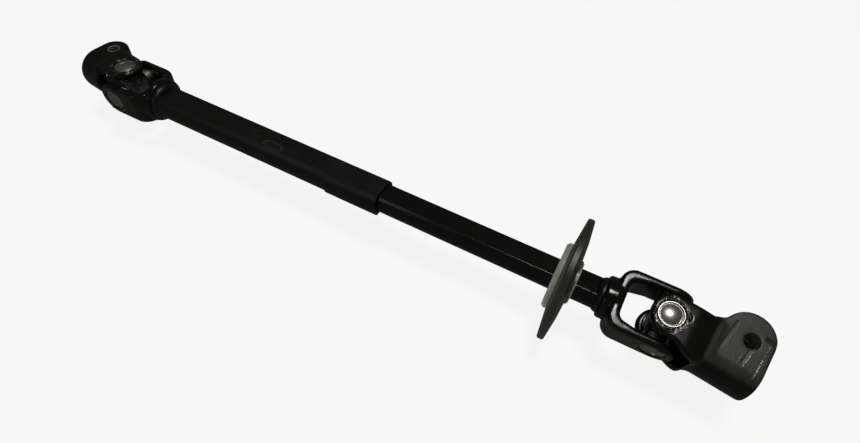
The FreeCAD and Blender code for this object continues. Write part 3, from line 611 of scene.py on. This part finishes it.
def soften(points, edges, free, passes):
    """Moves each point towards the middle of its neighbours, as far as free (0 to 1) lets it."""
    ends = np.concatenate([edges, edges[:, ::-1]])
    number = np.bincount(ends[:, 0], minlength=len(points))
    for _ in range(passes):
        for axis in range(3):
            total = np.bincount(ends[:, 0], weights=points[ends[:, 1], axis], minlength=len(points))
            points[:, axis] += 0.5 * free * (total / number - points[:, axis])
    return points


def keep_round(places, first, second, inner, outer):
    """0 within inner millimetres of an axis, rising to 1 at outer; first and second are offsets across it."""
    away = np.hypot(places[:, 0] - first, places[:, 1] - second)
    return np.clip((away - inner) / (outer - inner), 0, 1)


def punch_marks(places, angles):
    """Stakes round the cups: a dent in the ear's face and a burr pushed up beside the cup's rim."""
    dent_middle, dent_width, dent_depth = STAKE_RING + 0.3, 0.8, 0.6
    burr_middle, burr_width, burr_height = 7.9, 0.45, 0.3
    away = np.hypot(places[:, 0], places[:, 1])
    angle = np.degrees(np.arctan2(places[:, 1], places[:, 0]))
    depth = np.zeros(len(places))
    for stake in angles:
        turn = (angle - stake + 180) % 360 - 180
        along = np.exp(-((np.radians(turn) * STAKE_RING / 1.5) ** 2))
        dent = dent_depth * np.exp(-(((away - dent_middle) / dent_width) ** 2))
        burr = burr_height * np.exp(-(((away - burr_middle) / burr_width) ** 2))
        depth += along * (dent - burr)
    face = np.clip((np.abs(places[:, 2]) - 17.2) / 0.8, 0, 1)
    places[:, 2] -= np.sign(places[:, 2]) * depth * face
    return places


def furrow(places, start, end, height, width, depth):
    """A groove from start to end in the face that lies height millimetres up."""
    start, end = np.array(start), np.array(end)
    length = np.linalg.norm(end - start)
    way = (end - start) / length
    offset = places[:, :2] - start
    along = np.clip(offset @ way, 0, length)
    away = np.linalg.norm(offset - along[:, None] * way, axis=1)
    face = np.clip((places[:, 2] - height + 1.2) / 0.8, 0, 1)
    places[:, 2] -= depth * np.exp(-((away / width) ** 2)) * face
    return places


def ramp(values, low, high):
    """0 at low, 1 at high, with smooth ends."""
    part = np.clip((values - low) / (high - low), 0, 1)
    return part * part * (3 - 2 * part)


def round_barrel(places, side, seat, start):
    """Rolls the clamp's flat top over into its side at y = -side along a quarter of an ellipse.

    Each point is scaled towards the ellipse's centre, from the CAD outline, whose corner has a radius of
    its own, to the ellipse.
    """
    corner, across = 6.5, 12.5
    centre = side - across
    near, up = -(places[:, 1] + centre), places[:, 2]
    angle = np.arctan2(up, near)
    cosine, sine = np.cos(angle).clip(1e-6), np.sin(angle).clip(1e-6)
    reach = cosine * (across - corner) + sine * (seat - corner)
    inside = (across - corner) ** 2 + (seat - corner) ** 2 - corner**2
    corner_hit = reach + np.sqrt((reach**2 - inside).clip(0))
    box_hit = np.minimum(across / cosine, seat / sine)
    at_corner = (corner_hit * cosine > across - corner) & (corner_hit * sine > seat - corner)
    before = np.where(at_corner, corner_hit, box_hit)
    after = 1 / np.sqrt((cosine / across) ** 2 + (sine / seat) ** 2)
    share = ramp(places[:, 0], start - 4, start + 3) * (near > 0) * (up > 0) * (up < seat + 0.1)
    scale = 1 + share * (np.minimum(after / before, 1) - 1)
    places[:, 1] = np.where(near > 0, -(centre + near * scale), places[:, 1])
    places[:, 2] = np.where(near > 0, up * scale, up)
    return places


def flare_arm(places, side, start, run):
    """Widens the arms on the -y side, over run millimetres, until they meet the clamp's barrel at start."""
    width = 12.0  # half the arms' width
    x, y = places[:, 0], places[:, 1]
    share = ramp(x, start - run, start - 1) * (1 - ramp(x, start, start + 5))
    spread = (side - width) * share
    outer = -(width + spread) - (-y - width) * (side - width - spread) / (side - width)
    inner = y - spread * ramp(-y, 4, width)
    places[:, 1] = np.where(y < -width, np.maximum(outer, -side), inner)
    return places


def forging(node, body, place, holds, passes, marks=(), shape=None):
    """Rounded copy of a CAD forging.

    holds(places) gives how free each point is to move, from 0 to 1. marks are furrows in its face, and
    shape(places) bends the whole outline before the last passes of softening.
    """
    piece = bpy.data.objects.new(f"{node}_forging", frame["nodes"][node].data.copy())
    bpy.context.scene.collection.objects.link(piece)
    remesh = piece.modifiers.new("remesh", "REMESH")
    remesh.mode = "VOXEL"
    remesh.voxel_size = VOXEL
    graph = bpy.context.evaluated_depsgraph_get()
    mesh = bpy.data.meshes.new_from_object(piece.evaluated_get(graph))
    piece.modifiers.clear()
    piece.data = mesh
    points = mesh_points(mesh)
    edges = np.empty(len(mesh.edges) * 2, dtype=np.int64)
    mesh.edges.foreach_get("vertices", edges)
    edges = edges.reshape(-1, 2)
    points = soften(points, edges, np.ones(len(points)), 2)
    free = holds(place.inside(points))
    if shape:
        points = place.outside(shape(place.inside(points)))
    points = soften(points, edges, free, passes)
    places = punch_marks(place.inside(points), STAKES)
    for start, end, height, width, depth in marks:
        places = furrow(places, start, end, height, width, depth)
    mesh.vertices.foreach_set("co", place.outside(places).ravel())
    mesh.update()
    mesh.polygons.foreach_set("use_smooth", np.ones(len(mesh.polygons), dtype=bool))
    mesh.materials.clear()
    mesh.materials.append(materials[node])
    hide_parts(node)
    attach(piece, body)
    return piece


def fork_holds(places):
    return keep_round(places, 0, 0, *CUP_HOLD)


def clamp_holds(end):
    x, y = bolt_place(end)
    bore = mounts[f"{end}_clamp_bore"]
    start = (Vector(bore["pos_m"]) - CLAMPS[end].origin).length / MM - bore["dims"]["length_mm"] / 2

    def holds(places):
        free = keep_round(places, 0, 0, *CUP_HOLD) * keep_round(places, x, y, *BOLT_HOLD)
        in_bore = np.hypot(places[:, 1], places[:, 2]) < CLAMP_BORE_HOLD
        return np.where(in_bore & (places[:, 0] > start), 0, free)

    return holds


# gouges in the lower clamp's seat: start, end, the seat's height, width and depth in millimetres
SEAT_HEIGHT = 16.0
GOUGES = [
    ((30.2, 15.4), (27.6, -1.4), SEAT_HEIGHT, 0.5, 0.5),
    ((46.5, 14.7), (51.5, 14.2), SEAT_HEIGHT, 0.8, 0.9),
    ((41.2, 6.0), (39.8, -3.5), SEAT_HEIGHT, 0.35, 0.2),
]


def clamp_shape(side, seat, start, run):
    """Outline of a clamp yoke: its barrel's half width, its seat's height and where the barrel starts."""

    def shape(places):
        return flare_arm(round_barrel(places, side, seat, start), side, start, run)

    return shape


for end, body in (("lower", "bar"), ("upper", "tube")):
    forging(f"{end}_shaft_yoke", body, FORKS[end], fork_holds, 14)
lower_shape = clamp_shape(16.5, SEAT_HEIGHT, 20.0, 15.0)
upper_shape = clamp_shape(15.6, 15.6, 15.0, 5.5)
forging("lower_end_yoke", "lower_clamp", CLAMPS["lower"], clamp_holds("lower"), 22, GOUGES, lower_shape)
forging("upper_end_yoke", "upper_clamp", CLAMPS["upper"], clamp_holds("upper"), 16, (), upper_shape)

# ---------------------------------------------------------------- floor and light

world = bpy.data.worlds.new("studio")
bpy.context.scene.world = world
world.use_nodes = True
background = world.node_tree.nodes["Background"]
background.inputs["Color"].default_value = (1.0, 0.97, 0.93, 1)
background.inputs["Strength"].default_value = 0.065
bpy.context.scene.view_settings.view_transform = "Standard"

floor_height = cad_box[0].z - 0.5 * MM
bpy.ops.mesh.primitive_plane_add(size=8, location=(-0.2, 0.5, floor_height))
floor = bpy.context.object
floor.name = "floor"
surface = Nodes("floor_card")
surface.set(Base_Color=(0.15, 0.15, 0.15, 1), Roughness=0.9, Specular_IOR_Level=0.0)
surface.set(Emission_Color=(1.0, 0.998, 0.996, 1), Emission_Strength=0.88)
floor.data.materials.append(surface.material)
floor.visible_glossy = False


def softbox(name, where, look, width, height, power, tint):
    """A soft rectangular light at where, turned towards look."""
    light = bpy.data.lights.new(name, "AREA")
    light.shape = "RECTANGLE"
    light.size = width
    light.size_y = height
    light.energy = power
    light.color = tint
    lamp = bpy.data.objects.new(name, light)
    bpy.context.scene.collection.objects.link(lamp)
    lamp.location = where
    lamp.rotation_euler = (Vector(where) - Vector(look)).to_track_quat("Z", "Y").to_euler()
    lamp.visible_camera = False


softbox("overhead", (-0.08, 0.05, 1.25), (-0.1, 0.0, 0.0), 0.32, 0.3, 5.5, (1.0, 0.99, 0.97))
softbox("window", (-0.9, -1.2, 0.7), (-0.2, 0.0, 0.0), 0.5, 0.5, 0.6, (0.93, 0.97, 1.0))
